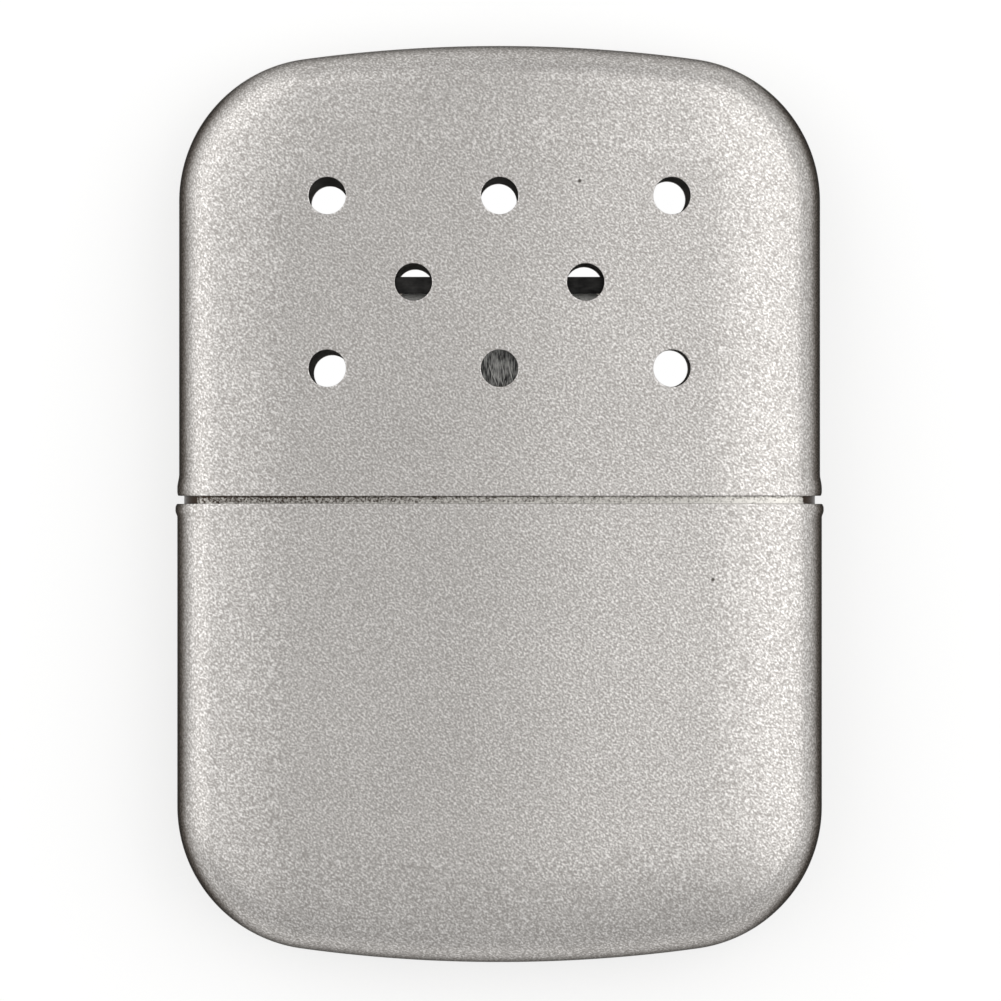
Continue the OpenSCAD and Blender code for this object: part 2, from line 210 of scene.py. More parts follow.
def makePaint():
    material, add, place = startMaterial("satinFlakeEnamel")
    turned = add("Mapping", {"Vector": place, "Rotation": (0, 0, math.radians(paint["slant"])),
        "Scale": (paint["stretch"], 1, 1)}, vector_type="TEXTURE")
    grains = add("TexNoise", {"Vector": turned, "Scale": 1 / (paint["grain"] * mm), "Detail": 1, "Roughness": 0.5,
        "Distortion": paint["curl"]})
    clouds = add("TexNoise", {"Vector": place, "Scale": 1 / (paint["cloud"] * mm), "Detail": 2})
    lacquer, full = paint["tone"]
    grainTone = add("MapRange", {"Value": grains, "From Min": lacquer, "From Max": full})
    flake = add("Math", [grainTone, paint["sparkle"]], operation="POWER")
    shade = add("Mix", {0: flake, 6: colour(paint["deep"]), 7: colour(paint["flake"])}, data_type="RGBA")
    clouded = add("Mix", {0: paint["cloudShare"], 6: shade.outputs[2], 7: clouds}, data_type="RGBA",
        blend_type="MULTIPLY")
    # painted shade: the two side walls are darkened around their middle height
    axes = add("SeparateXYZ", [place]).outputs
    height = add("Math", [axes["Z"], midZ], operation="SUBTRACT")
    away = add("Math", [height], operation="ABSOLUTE")
    side = add("MapRange", {"Value": away, "From Min": paint["sideFrom"] * mm, "From Max": paint["sideTo"] * mm},
        interpolation_type="SMOOTHSTEP")
    across = add("Math", [axes["X"]], operation="ABSOLUTE")
    outer = add("MapRange", {"Value": across, "From Min": paint["sideStart"] * mm,
        "From Max": paint["sideEnd"] * mm}, interpolation_type="SMOOTHSTEP")
    sideShadeMask = add("Math", [side, outer], operation="MULTIPLY")
    sideShaded = add("Mix", {0: sideShadeMask, 6: clouded.outputs[2], 7: colour(paint["side"])}, data_type="RGBA",
        blend_type="MULTIPLY")
    chipped = sideShaded.outputs[2]
    for x, y in paint["nicks"]:
        apart = add("VectorMath", [place, (x * mm, y * mm, lidHigh.z)], operation="DISTANCE")
        nick = add("MapRange", {"Value": apart.outputs["Value"], "From Min": paint["nick"] * mm,
            "From Max": paint["nick"] * mm / 2})
        chipped = add("Mix", {0: nick, 6: chipped, 7: colour(paint["primer"])}, data_type="RGBA").outputs[2]
    gloss = add("MapRange", {"Value": grains, "From Min": lacquer, "From Max": full, "To Min": paint["roughness"][1],
        "To Max": paint["roughness"][0]})
    turnAcross = add("Math", [axes["X"], math.pi / 2 / (paint["crownReach"] * mm)], operation="MULTIPLY")
    crownHeight = add("Math", [turnAcross], operation="COSINE")
    crowned = add("Bump", {"Strength": 1, "Distance": paint["crown"] * mm, "Height": crownHeight})
    relief = add("Bump", {"Strength": paint["reliefShare"], "Distance": paint["relief"] * mm, "Height": grains,
        "Normal": crowned})
    shader = add("BsdfPrincipled", {"Metallic": 1, "IOR": 1.45, "Specular Tint": colour(paint["flop"]),
        "Base Color": chipped, "Roughness": gloss, "Normal": relief})
    add("OutputMaterial", {"Surface": shader})
    return material


# Bare metals share one recipe: brushed or scuffed streaks over a plate, with patches of wear.
metals = {
    # drawn steel inside the case, dull and a little brown
    "bareSteel": {"plain": "#8d8a86", "worn": "#5d5852", "streak": 0.4, "stretch": 6, "patch": 5,
                  "wear": (0.45, 0.75), "roughness": (0.4, 0.6)},
    # nickel plate on the collar, scuffed by the lid to brown and black bits, with painted shade to the left, at its
    # ends and in a line under the lid's rim
    "scuffedShadedNickel": {"plain": "#d0cdc7", "worn": "#362d26", "streak": 0.12, "stretch": 1.5, "patch": 0.26,
                      "wear": (0.41, 0.63), "roughness": (0.22, 0.5),
                      # painted shade: darker to the left, at the ends and along the lid's rim
                      "lean": 0.0028, "endShadeFrom": 32.6, "endShadeTo": 33.4,
                      "rimLine": 0.84, "rimReach": 0.26, "rimShade": 0.1,
                      "cleanFrom": 1, "cleanTo": 2, "clean": -0.12, "beadFrom": 0.24, "beadTo": 0.08, "bead": -0.07},
    # rolled brass of the filler neck, gone slightly dull
    "neckBrass": {"plain": "#c2ab78", "worn": "#8a7850", "streak": 0.3, "stretch": 5, "patch": 3,
                  "wear": (0.45, 0.75), "roughness": (0.25, 0.42)},
    # nickelled steel of the burner's cage, with straw and blue heat tint in patches
    "tintedSteel": {"plain": "#a8a49d", "worn": "#7b6a57", "streak": 0.22, "stretch": 7, "patch": 4,
                    "wear": (0.42, 0.7), "roughness": (0.25, 0.45)},
    # steel of the cap, nearly black
    "nearBlackCapSteel": {"plain": "#363534", "worn": "#171717", "streak": 0.3, "stretch": 4, "patch": 2.4,
                      "wear": (0.35, 0.65), "roughness": (0.42, 0.65)},
    # rivet heads, polished by the riveting set
    "rivetSteel": {"plain": "#a09d98", "worn": "#6d675f", "streak": 0.2, "stretch": 2, "patch": 0.7,
                   "wear": (0.45, 0.7), "roughness": (0.25, 0.4)},
    # woven wire that holds the mat, darkened by the burner
    "gauzeWire": {"plain": "#8a8783", "worn": "#4a4541", "streak": 0.2, "stretch": 1.5, "patch": 1.5,
                  "wear": (0.4, 0.7), "roughness": (0.35, 0.55)},
}
# shared by all: how much the streaks count beside the patches, the noise at which a metal is glossiest
# and dullest, and the height of the streaks
wearing = {"streakShare": 0.3, "glossy": 0.3, "dull": 0.75, "relief": 0.01, "reliefShare": 0.25}


def makeMetal(name):
    look = metals[name]
    material, add, place = startMaterial(name)
    # the streaks run across, along X
    drawn = add("Mapping", {"Vector": place, "Scale": (1 / look["stretch"], 1, 1)})
    streaks = add("TexNoise", {"Vector": drawn, "Scale": 1 / (look["streak"] * mm), "Detail": 3})
    patches = add("TexNoise", {"Vector": place, "Scale": 1 / (look["patch"] * mm), "Detail": 5, "Roughness": 0.65})
    both = add("Mix", {0: wearing["streakShare"], 2: patches, 3: streaks}, data_type="FLOAT")
    worn = both
    if "lean" in look:
        # painted shade: darker to the left, at the ends and in a line under the lid's rim; less wear under the lid
        # and by the bead
        axes = add("SeparateXYZ", [place]).outputs
        wearAndLeftShade = add("Math", [axes["X"], -look["lean"] / mm, both], operation="MULTIPLY_ADD")
        across = add("Math", [axes["X"]], operation="ABSOLUTE")
        endShade = add("MapRange", {"Value": across, "From Min": look["endShadeFrom"] * mm,
            "From Max": look["endShadeTo"] * mm})
        fromRim = add("Math", [axes["Y"], look["rimLine"] * mm], operation="SUBTRACT")
        offRim = add("Math", [fromRim], operation="ABSOLUTE")
        rim = add("MapRange", {"Value": offRim, "From Min": look["rimReach"] * mm, "From Max": 0,
            "To Max": look["rimShade"]})
        covered = add("MapRange", {"Value": axes["Y"], "From Min": look["cleanFrom"] * mm,
            "From Max": look["cleanTo"] * mm, "To Max": look["clean"]})
        beside = add("MapRange", {"Value": axes["Y"], "From Min": look["beadFrom"] * mm,
            "From Max": look["beadTo"] * mm, "To Max": look["bead"]})
        wiped = add("Math", [covered, beside], operation="ADD")
        paintedShade = add("Math", [endShade, rim], operation="ADD")
        shadeAndWiped = add("Math", [paintedShade, wiped], operation="ADD")
        worn = add("Math", [wearAndLeftShade, shadeAndWiped], operation="ADD")
    wear = add("MapRange", {"Value": worn, "From Min": look["wear"][0], "From Max": look["wear"][1]})
    shade = add("Mix", {0: wear, 6: colour(look["plain"]), 7: colour(look["worn"])}, data_type="RGBA")
    gloss = add("MapRange", {"Value": both, "From Min": wearing["glossy"], "From Max": wearing["dull"],
        "To Min": look["roughness"][0], "To Max": look["roughness"][1]})
    relief = add("Bump", {"Strength": wearing["reliefShare"], "Distance": wearing["relief"] * mm, "Height": streaks})
    shader = add("BsdfPrincipled", {"Metallic": 1, "Base Color": shade.outputs[2], "Roughness": gloss,
        "Normal": relief})
    add("OutputMaterial", {"Surface": shader})
    return material


# Fibres and other matt stuff: fine streaks along one axis, soft lumps and no shine of their own.
softStuff = {
    # platinised glass-fibre cloth: grey strands with pale broken ends between dark ones
    "catalystFibre": {"dark": "#1a1919", "light": "#d4d3cf", "fibre": 0.15, "along": (1, 0.14, 0.35), "lump": 1.1,
                      "tone": (0.42, 0.66), "roughness": 0.8, "relief": 0.08,
                      # painted light: lighter along the fold, which lies in the cap's shade
                      "paintedLightFrom": 20.6, "paintedLightTo": 21.7, "pale": 0.3},
    # broken strands on it that have lost their platinum and shine white
    "whiteStrand": {"dark": "#b5b4b0", "light": "#f0efeb", "fibre": 0.3, "along": (1, 0.2, 1), "lump": 2,
                    "roughness": 0.6, "relief": 0.01},
    # glass mat under it, grey and mottled
    "glassMat": {"dark": "#8a8883", "light": "#cfcdc6", "fibre": 0.2, "along": (1, 0.2, 1), "lump": 2,
                 "roughness": 0.85, "relief": 0.06},
    # loose glass wool of the core
    "glassWool": {"dark": "#c4c1b6", "light": "#efede6", "fibre": 0.25, "along": (1, 0.4, 1), "lump": 2,
                  "roughness": 0.9, "relief": 0.06},
    # carded cotton, off white
    "cotton": {"dark": "#d5d0c3", "light": "#f6f3ea", "fibre": 0.3, "along": (1, 0.5, 0.8), "lump": 4,
               "roughness": 0.95, "relief": 0.08},
    # pressed wool felt of the wick, yellowed by fuel
    "wickFelt": {"dark": "#b9b09a", "light": "#e2dcc9", "fibre": 0.2, "along": (1, 0.8, 1), "lump": 1.4,
                 "roughness": 0.95, "relief": 0.05},
    # vulcanised fibre gasket, dark brown and slightly mottled
    "gasketFibre": {"dark": "#2a211b", "light": "#4a3b30", "fibre": 0.3, "along": (1, 1, 1), "lump": 1,
                    "roughness": 0.6, "relief": 0.02},
}
# shared by all: how much the lumps count beside the fibres, the noise at which a stuff is darkest and lightest
felting = {"lumpShare": 0.4, "tone": (0.35, 0.65), "curl": 0.3, "reliefShare": 0.6}


def makeSoft(name):
    look = softStuff[name]
    material, add, place = startMaterial(name)
    drawn = add("Mapping", {"Vector": place, "Scale": look["along"]})
    fibres = add("TexNoise", {"Vector": drawn, "Scale": 1 / (look["fibre"] * mm), "Detail": 4, "Roughness": 0.6,
        "Distortion": felting["curl"]})
    lumps = add("TexNoise", {"Vector": place, "Scale": 1 / (look["lump"] * mm), "Detail": 3})
    both = add("Mix", {0: felting["lumpShare"], 2: fibres, 3: lumps}, data_type="FLOAT")
    darkest, lightest = look.get("tone", felting["tone"])
    toned = both
    if "paintedLightFrom" in look:               # painted light: lighter along its fold, which lies in the cap's shade
        y = add("SeparateXYZ", [place]).outputs["Y"]
        pale = add("MapRange", {"Value": y, "From Min": look["paintedLightFrom"] * mm, "From Max": look["paintedLightTo"] * mm,
            "To Max": look["pale"]})
        toned = add("Math", [both, pale], operation="ADD")
    tone = add("MapRange", {"Value": toned, "From Min": darkest, "From Max": lightest})
    shade = add("Mix", {0: tone, 6: colour(look["dark"]), 7: colour(look["light"])}, data_type="RGBA")
    relief = add("Bump", {"Strength": felting["reliefShare"], "Distance": look["relief"] * mm, "Height": fibres})
    shader = add("BsdfPrincipled", {"Roughness": look["roughness"], "IOR": 1.45, "Base Color": shade.outputs[2],
        "Normal": relief})
    add("OutputMaterial", {"Surface": shader})
    return material


finishes = {"satinFlakeEnamel": makePaint()}
for metal in metals:
    finishes[metal] = makeMetal(metal)
for stuff in softStuff:
    finishes[stuff] = makeSoft(stuff)
print("materials:", len(finishes))


# The drawn case. Its edge is an arc that runs into a wider one, which meets the flat face
# at edgeReach from the outline, just outside the vents; lid and tank are the same form at their own sizes.
case = {
    "cornerRadius": 15.6, "crownRadius": 157,
    "edgeRadius": 5.525, "edgeReach": 12.6,
    "wall": 0.4, "edgeRounding": 0.15,
    "bandHeight": 3.2,                   # the stretch along the rim that holds the flare
    "flareOnFaces": 0.12,                # share of the flare that the flat faces take
    "lid": {"flare": 0.2, "flareFrom": 2.4, "flareTo": 0.9, "tuck": 0.14, "tuckFrom": 0.45},
    "tank": {"flare": 0.2, "flareFrom": 1.5, "flareTo": 0.8, "tuck": 0.2, "tuckFrom": 0.5},
}
vents = {
    "ventDiameter": 4, "ventPitchAcross": 18.5, "ventPitchAlong": 9.27, "middleRow": 23.85, "backTurn": 0.8,
    "ventRimWidth": 0.4,                 # the even ring of faces round each hole, whose edge is rounded
}

tankLow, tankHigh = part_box("tank_shell")
# the rims' faces reach the full thickness
halfThickness = midZ - case["flareOnFaces"] * case["tank"]["flare"] * mm


def edgeNumbers(inset):
    # radii and the turn between the two arcs of the case's edge, in metres, moved inwards by inset
    edge = case["edgeRadius"] * mm
    reach = case["edgeReach"] * mm
    rise = reach - edge
    soft = (rise * rise + halfThickness ** 2 - edge * edge) / (2 * (halfThickness - edge))
    return {"Half Thickness": halfThickness - inset, "Edge Radius": edge - inset, "Edge Reach": reach - inset,
            "Soft Radius": soft - inset, "Soft Turn": math.atan2(rise, soft - halfThickness)}


edgeSizes = ["Half Thickness", "Edge Radius", "Edge Reach", "Soft Radius", "Soft Turn"]
loopSizes = ["Half Width"] + edgeSizes


def chain(add, pieces):
    # joins curves whose ends meet into one spline
    wires = [add("CurveToMesh", [p]) for p in pieces]
    joined = add("JoinGeometry", {"Geometry": wires})
    welded = add("MergeByDistance", {"Geometry": joined, "Distance": gaps["curves"] * mm})
    return add("MeshToCurve", [welded])


def arcAbout(add, count, radius, start, sweep, x=0, y=0):
    # an arc of this many points about a centre
    curve = add("CurveArc", {"Resolution": count, "Radius": radius, "Start Angle": start, "Sweep Angle": sweep},
        mode="RADIUS")
    return add("Transform", {"Geometry": curve, "Translation": add("CombineXYZ", [x, y])})


def lineAcross(add, x, y):
    # a line from this point to its mirror image
    start = add("CombineXYZ", [x, y])
    end = add("VectorMath", [start, (-1, 1, 1)], operation="MULTIPLY")
    return add("CurvePrimitiveLine", [start, end])


def withMirrored(add, halves):
    return [piece for half in halves for piece in (half, add("Transform", {"Geometry": half, "Scale": (-1, 1, 1)}))]


def openEdge(add, mesh, level, side):
    # the mesh's open edge at this height above or below its middle, as a curve
    z = add("SeparateXYZ", [add("InputPosition")]).outputs["Z"]
    reached = add("Math", [z, side, 0.001 * mm], operation="MULTIPLY_ADD")
    high = add("Math", [reached, level], operation="GREATER_THAN")
    alone = add("Math", [add("InputMeshEdgeNeighbors"), 1.5], operation="LESS_THAN")
    both = add("Math", [high, alone], operation="MULTIPLY")
    return add("MeshToCurve", {"Mesh": mesh, "Selection": both})


def makeEdgeProfile():
    # the case's edge in section, from flat face to flat face, with the outline at x = 0
    tree, add, size = startTree("caseEdgeProfile", edgeSizes)
    edgeTurn = add("Math", [math.pi / 2, size["Soft Turn"]], operation="SUBTRACT")
    start = add("Math", [edgeTurn, -1], operation="MULTIPLY")
    sweep = add("Math", [edgeTurn, 2], operation="MULTIPLY")
    edgeX = add("Math", [size["Edge Radius"], -1], operation="MULTIPLY")
    edge = arcAbout(add, points["edge"], size["Edge Radius"], start, sweep, edgeX)
    softX = add("Math", [size["Edge Reach"], -1], operation="MULTIPLY")
    softY = add("Math", [size["Half Thickness"], size["Soft Radius"]], operation="SUBTRACT")
    front = arcAbout(add, points["soft"], size["Soft Radius"], edgeTurn, size["Soft Turn"], softX, softY)
    back = add("Transform", {"Geometry": front, "Scale": (1, -1, 1)})
    return endTree(tree, chain(add, [edge, front, back]))


def makeSectionLoop():
    # the whole section of the case as a closed curve
    tree, add, size = startTree("caseSectionLoop", loopSizes)
    edge = add("GeometryNodeGroup", {s: size[s] for s in edgeSizes}, node_tree=edgeProfile)
    place = add("CombineXYZ", [size["Half Width"]])
    right = add("Transform", {"Geometry": edge, "Translation": place})
    pieces = withMirrored(add, [right])
    flatX = add("Math", [size["Half Width"], size["Edge Reach"]], operation="SUBTRACT")
    for side in (-1, 1):
        flatY = add("Math", [size["Half Thickness"], side], operation="MULTIPLY")
        pieces.append(lineAcross(add, flatX, flatY))
    return endTree(tree, chain(add, pieces))


outlineSizes = ["Half Width", "Corner Radius", "Corner Height", "Crown Radius", "Crown Height", "Crown Turn", "Low"]


def makeOutline():
    # the case's outline from the front, open at the rim
    tree, add, size = startTree("caseOutline", outlineSizes)
    coreX = add("Math", [size["Half Width"], size["Corner Radius"]], operation="SUBTRACT")
    cornerTurn = add("Math", [math.pi / 2, size["Crown Turn"]], operation="SUBTRACT")
    crownSweep = add("Math", [size["Crown Turn"], 2], operation="MULTIPLY")
    corner = arcAbout(add, points["corner"], size["Corner Radius"], 0, cornerTurn, coreX, size["Corner Height"])
    low = add("CombineXYZ", [size["Half Width"], size["Low"]])
    high = add("CombineXYZ", [size["Half Width"], size["Corner Height"]])
    side = add("CurvePrimitiveLine", [low, high])
    stepped = add("ResampleCurve", {"Curve": side, "Count": points["side"]})
    crown = arcAbout(add, points["crown"], size["Crown Radius"], cornerTurn, crownSweep, 0, size["Crown Height"])
    pieces = withMirrored(add, [stepped, corner]) + [crown]
    return endTree(tree, chain(add, pieces))


ventSizes = ["Vent Diameter", "Vent Rim Width", "Vent Pitch Across", "Vent Pitch Along", "Vent Row Height"]


def makeVentPattern(asRims):
    # three, two and three holes in rows on one face: as flat rims, or as the rims' outlines
    tree, add, size = startTree("ventRims" if asRims else "ventOutlines", ventSizes + ["Turn"])
    rowsWidth = add("Math", [size["Vent Pitch Across"], 2], operation="MULTIPLY")
    rowsHeight = add("Math", [size["Vent Pitch Along"], 2], operation="MULTIPLY")
    outerRows = add("MeshGrid", {"Size X": rowsWidth, "Size Y": rowsHeight, "Vertices X": 3, "Vertices Y": 2})
    halfPitch = add("Math", [size["Vent Pitch Across"], 0.5], operation="MULTIPLY")
    start = add("CombineXYZ", [halfPitch])
    end = add("VectorMath", {0: start, "Scale": -1}, operation="SCALE")
    middle = add("MeshLine", {"Count": 2, "Start Location": start, "Offset": end}, mode="END_POINTS")
    centres = add("JoinGeometry", {"Geometry": [outerRows, middle]})
    radius = add("Math", [size["Vent Diameter"], 0.5], operation="MULTIPLY")
    if asRims:
        hole = add("MeshCircle", {"Vertices": points["vent"], "Radius": radius})
        outwards = add("VectorMath", [add("InputPosition")], operation="NORMALIZE")
        ring = add("ExtrudeMesh", {"Mesh": hole, "Offset": outwards, "Offset Scale": size["Vent Rim Width"]},
            mode="EDGES")
    else:
        outer = add("Math", [radius, size["Vent Rim Width"]], operation="ADD")
        ring = add("CurvePrimitiveCircle", {"Resolution": points["vent"], "Radius": outer})
    rings = add("InstanceOnPoints", {"Points": centres, "Instance": ring})
    real = add("RealizeInstances", {"Geometry": rings})
    place = add("CombineXYZ", {"Y": size["Vent Row Height"]})
    turn = add("CombineXYZ", {"Z": size["Turn"]})
    placed = add("Transform", {"Geometry": real, "Translation": place, "Rotation": turn})
    return endTree(tree, placed)


flareSizes = ["Flare", "Flare From", "Flare To", "Tuck", "Tuck From"]


def makeDrawnSkin(pierced):
    # the outer skin of a drawn cup: band along the rim, swept edge and two flat faces
    tree, add, size = startTree(
        "piercedSkin" if pierced else "plainSkin",
        outlineSizes + edgeSizes + flareSizes + ["Vent Back Turn"] + ventSizes, {"Paint": "NodeSocketMaterial"})
    edge = add("GeometryNodeGroup", {s: size[s] for s in edgeSizes}, node_tree=edgeProfile)
    outer = add("GeometryNodeGroup", {s: size[s] for s in outlineSizes}, node_tree=caseOutline)
    turned = add("ReverseCurve", [outer])
    swept = add("CurveToMesh", [turned, edge])
    loop = add("GeometryNodeGroup", {s: size[s] for s in loopSizes}, node_tree=sectionLoop)
    bandTop = add("CombineXYZ", {"Y": size["Low"]})
    bandLine = add("CurvePrimitiveLine", [(0, 0, 0), bandTop])
    bandSteps = add("ResampleCurve", {"Curve": bandLine, "Count": points["band"]})
    band = add("CurveToMesh", [bandSteps, loop])
    flatX = add("Math", [size["Half Width"], size["Edge Reach"]], operation="SUBTRACT")
    closing = lineAcross(add, flatX, size["Low"])
    arch = openEdge(add, swept, size["Half Thickness"], 1)
    lowered = add("Transform", {"Geometry": arch, "Scale": (1, 1, 0)})
    faceEdge = chain(add, [lowered, closing])
    parts = [swept, band]
    for side in (1, -1):
        outlines, rims = [faceEdge], []
        if pierced:
            for pattern, made in ((ventOutlines, outlines), (ventRims, rims)):
                links = {s: size[s] for s in ventSizes}
                if side < 0:
                    links["Turn"] = size["Vent Back Turn"]
                made.append(add("GeometryNodeGroup", links, node_tree=pattern))
        curves = add("JoinGeometry", {"Geometry": outlines})
        face = add("FillCurve", {"Curve": curves}, mode="TRIANGLES")
        flat = add("JoinGeometry", {"Geometry": [face] + rims})
        height = add("Math", [size["Half Thickness"], side], operation="MULTIPLY")
        place = add("CombineXYZ", {"Z": height})
        parts.append(add("Transform", {"Geometry": flat, "Translation": place}))
    joined = add("JoinGeometry", {"Geometry": parts})
    welded = add("MergeByDistance", {"Geometry": joined, "Distance": gaps["faces"] * mm})
    # near the rim the wall swells outwards, mostly sideways, and its very edge tucks back in
    normal = add("InputNormal")
    position = add("InputPosition")
    outwards = add("VectorMath", [position, (1, 0, 1)], operation="MULTIPLY")
    facing = add("VectorMath", [normal, outwards], operation="DOT_PRODUCT")
    sign = add("Math", [facing.outputs["Value"]], operation="SIGN")
    along = add("SeparateXYZ", [position]).outputs["Y"]
    swell = add("MapRange", {"Value": along, "From Min": size["Flare From"], "From Max": size["Flare To"],
        "To Max": size["Flare"]}, interpolation_type="SMOOTHSTEP")
    nearEdge = add("MapRange", {"Value": along, "From Min": size["Tuck From"], "From Max": 0})
    curled = add("Math", [nearEdge, 2], operation="POWER")
    tucked = add("Math", [curled, size["Tuck"]], operation="MULTIPLY")
    change = add("Math", [swell, tucked], operation="SUBTRACT")
    signed = add("Math", [change, sign], operation="MULTIPLY")
    offset = add("VectorMath", {0: normal, "Scale": signed}, operation="SCALE")
    sideways = add("VectorMath", [offset, (1, 0, case["flareOnFaces"])], operation="MULTIPLY")
    flared = add("SetPosition", {"Geometry": welded, "Offset": sideways})
    return endTree(tree, flared, size["Paint"])


edgeProfile = makeEdgeProfile()
sectionLoop = makeSectionLoop()
caseOutline = makeOutline()
ventOutlines = makeVentPattern(False)
ventRims = makeVentPattern(True)


def drawnSizes(halfWidth, height, flare):
    # every size that the skin's tree asks for, worked out from the case's settings
    corner = case["cornerRadius"] * mm
    crown = case["crownRadius"] * mm
    turn = math.asin((halfWidth - corner) / (crown - corner))
    sizes = {"Half Width": halfWidth, "Corner Radius": corner, "Crown Radius": crown, "Crown Turn": turn,
             "Crown Height": height - crown, "Corner Height": height - crown + (crown - corner) * math.cos(turn),
             "Low": case["bandHeight"] * mm}
    return {**sizes, **edgeNumbers(0), **asInputs(flare, "flare", "tuck", "flareFrom", "flareTo", "tuckFrom")}


def drawCup(name, tree, sizes, place):
    # the skin gets its wall and soft edges; the wall's inner side is bare steel
    cup = growPiece(name, tree, sizes)
    faceOutwards(cup)
    cup.data.transform(place)
    cup.data.materials.append(finishes["bareSteel"])
    thicken(cup, case["wall"], True, 1)
    softenEdges(cup, case["edgeRounding"], 50)
    return cup


lidSizes = drawnSizes((lidHigh.x - lidLow.x) / 2, lidHigh.y - lidLow.y, case["lid"])
lidSizes.update({
    **asInputs(vents, "ventDiameter", "ventRimWidth", "ventPitchAcross", "ventPitchAlong"),
    "Vent Row Height": vents["middleRow"] * mm - lidLow.y,
    "Vent Back Turn": math.radians(vents["backTurn"]), "Paint": finishes["satinFlakeEnamel"]})
lid = drawCup("lid", makeDrawnSkin(True), lidSizes, Matrix.Translation((0, lidLow.y, midZ)))
mount(lid, "lid", "satin_paint", "lid_shell")

tankSizes = drawnSizes(tankHigh.x - case["tank"]["flare"] * mm, tankHigh.y - tankLow.y, case["tank"])
tankSizes["Paint"] = finishes["satinFlakeEnamel"]
tank = drawCup("tank", makeDrawnSkin(False), tankSizes,
               Matrix.Translation((0, tankHigh.y, midZ)) @ Matrix.Rotation(math.pi, 4, "Z"))
mount(tank, "tank", "satin_paint", "tank_shell")
print("case:", len(lid.data.polygons), "and", len(tank.data.polygons), "faces")


# The tank top is a drawn cup too: its collar rises through the rim and its top carries the neck.
collar = {
    "inset": 0.55,                       # from the lid's outline
    "roundTop": 1.1, "skirtStep": 0.08, "skirtTop": -1.1, "wall": 0.35,
    "dimpleX": 17, "dimple": 2.4, "dimpleRise": 0.1,
    "neckWall": 0.45, "neckThickness": 7.9,    # the neck's wall round the felt, and its outside from front to back
    "neckRounding": 0.499,               # share of that thickness, a little under half so that the ends stay apart
    "dimpleSink": 0.02, "edgeRounding": 0.06,
}
topLow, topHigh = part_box("tank_top")


def makeCollarSkin():
    # the section loop carries a profile that runs up the skirt and the collar and over the top edge
    tree, add, size = startTree("collarSkin", loopSizes + [
        "Top", "Round Top", "Skirt Step", "Skirt Top", "Skirt Low", "Neck Width", "Neck Thickness"],
        {"Plate": "NodeSocketMaterial"})
    loop = add("GeometryNodeGroup", {s: size[s] for s in loopSizes}, node_tree=sectionLoop)
    corners = []
    for x, y in (("Skirt Step", "Skirt Low"), ("Skirt Step", "Skirt Top"), (None, "Skirt Top"), (None, "Round Low")):
        links = {"X": size[x]} if x else {}
        if y == "Round Low":
            links["Y"] = add("Math", [size["Top"], size["Round Top"]], operation="SUBTRACT")
        else:
            links["Y"] = size[y]
        corners.append(add("CombineXYZ", links))
    wires = [add("CurvePrimitiveLine", [a, b]) for a, b in zip(corners, corners[1:])]
    rounding = add("CurveArc", {"Resolution": points["collarTop"], "Radius": size["Round Top"], "Start Angle": 0,
        "Sweep Angle": math.pi / 2}, mode="RADIUS")
    inwards = add("VectorMath", [size["Round Top"], (-1, 0, 0)], operation="MULTIPLY")
    arcPlace = add("VectorMath", [corners[-1], inwards], operation="ADD")
    wires.append(add("Transform", {"Geometry": rounding, "Translation": arcPlace}))
    wall = add("CurveToMesh", [loop, chain(add, wires)])
    rim = openEdge(add, wall, size["Top"], -1)
    block = add("CurvePrimitiveQuadrilateral", {"Width": size["Neck Width"], "Height": size["Neck Thickness"]})
    neckRadius = add("Math", [size["Neck Thickness"], collar["neckRounding"]], operation="MULTIPLY")
    oval = add("FilletCurve", {"Curve": block, "Radius": neckRadius, "Count": points["neck"]}, mode="POLY")
    outlines = add("JoinGeometry", {"Geometry": [rim, oval]})
    lidPlate = add("FillCurve", {"Curve": outlines}, mode="TRIANGLES")
    down = add("Math", [size["Top"], -1], operation="MULTIPLY")
    platePlace = add("CombineXYZ", {"Z": down})
    plate = add("Transform", {"Geometry": lidPlate, "Translation": platePlace})
    joined = add("JoinGeometry", {"Geometry": [wall, plate]})
    welded = add("MergeByDistance", {"Geometry": joined, "Distance": gaps["faces"] * mm})
    return endTree(tree, welded, size["Plate"])


collarSizes = edgeNumbers(collar["inset"] * mm)
collarSizes.update({
    **asInputs(collar, "roundTop", "skirtStep", "skirtTop", "neckThickness"),
    "Half Width": lidHigh.x - collar["inset"] * mm, "Top": topHigh.y - tankHigh.y,
    "Skirt Low": topLow.y - tankHigh.y, "Plate": finishes["scuffedShadedNickel"],
    "Neck Width": (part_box("mouth_felt")[1].x + collar["neckWall"] * mm) * 2})
tankTop = growPiece("tankTop", makeCollarSkin(), collarSizes)
faceOutwards(tankTop)
upright = Matrix.Translation((0, tankHigh.y, midZ)) @ Matrix.Rotation(math.pi / 2, 4, "X")
tankTop.data.transform(upright)


def makeDimples():
    # small pressed bumps, one near each corner of the two faces, that grip the lid
    tree, add, size = startTree("gripDimples", ["Across", "Height", "Face", "Diameter", "Rise"],
                                {"Plate": "NodeSocketMaterial"})
    width = add("Math", [size["Across"], 2], operation="MULTIPLY")
    depth = add("Math", [size["Face"], 2], operation="MULTIPLY")
    centres = add("MeshGrid", {"Size X": width, "Size Y": depth, "Vertices X": 2, "Vertices Y": 2})
    bump = add("MeshUVSphere", {"Segments": 32, "Rings": 16, "Radius": 1})
    radius = add("Math", [size["Diameter"], 0.5], operation="MULTIPLY")
    scale = add("CombineXYZ", [radius, size["Rise"], radius])
    bumps = add("InstanceOnPoints", {"Points": centres, "Instance": bump, "Scale": scale})
    lift = add("CombineXYZ", {"Z": size["Height"]})
    placed = add("Transform", {"Geometry": bumps, "Translation": lift})
    return endTree(tree, placed, size["Plate"])


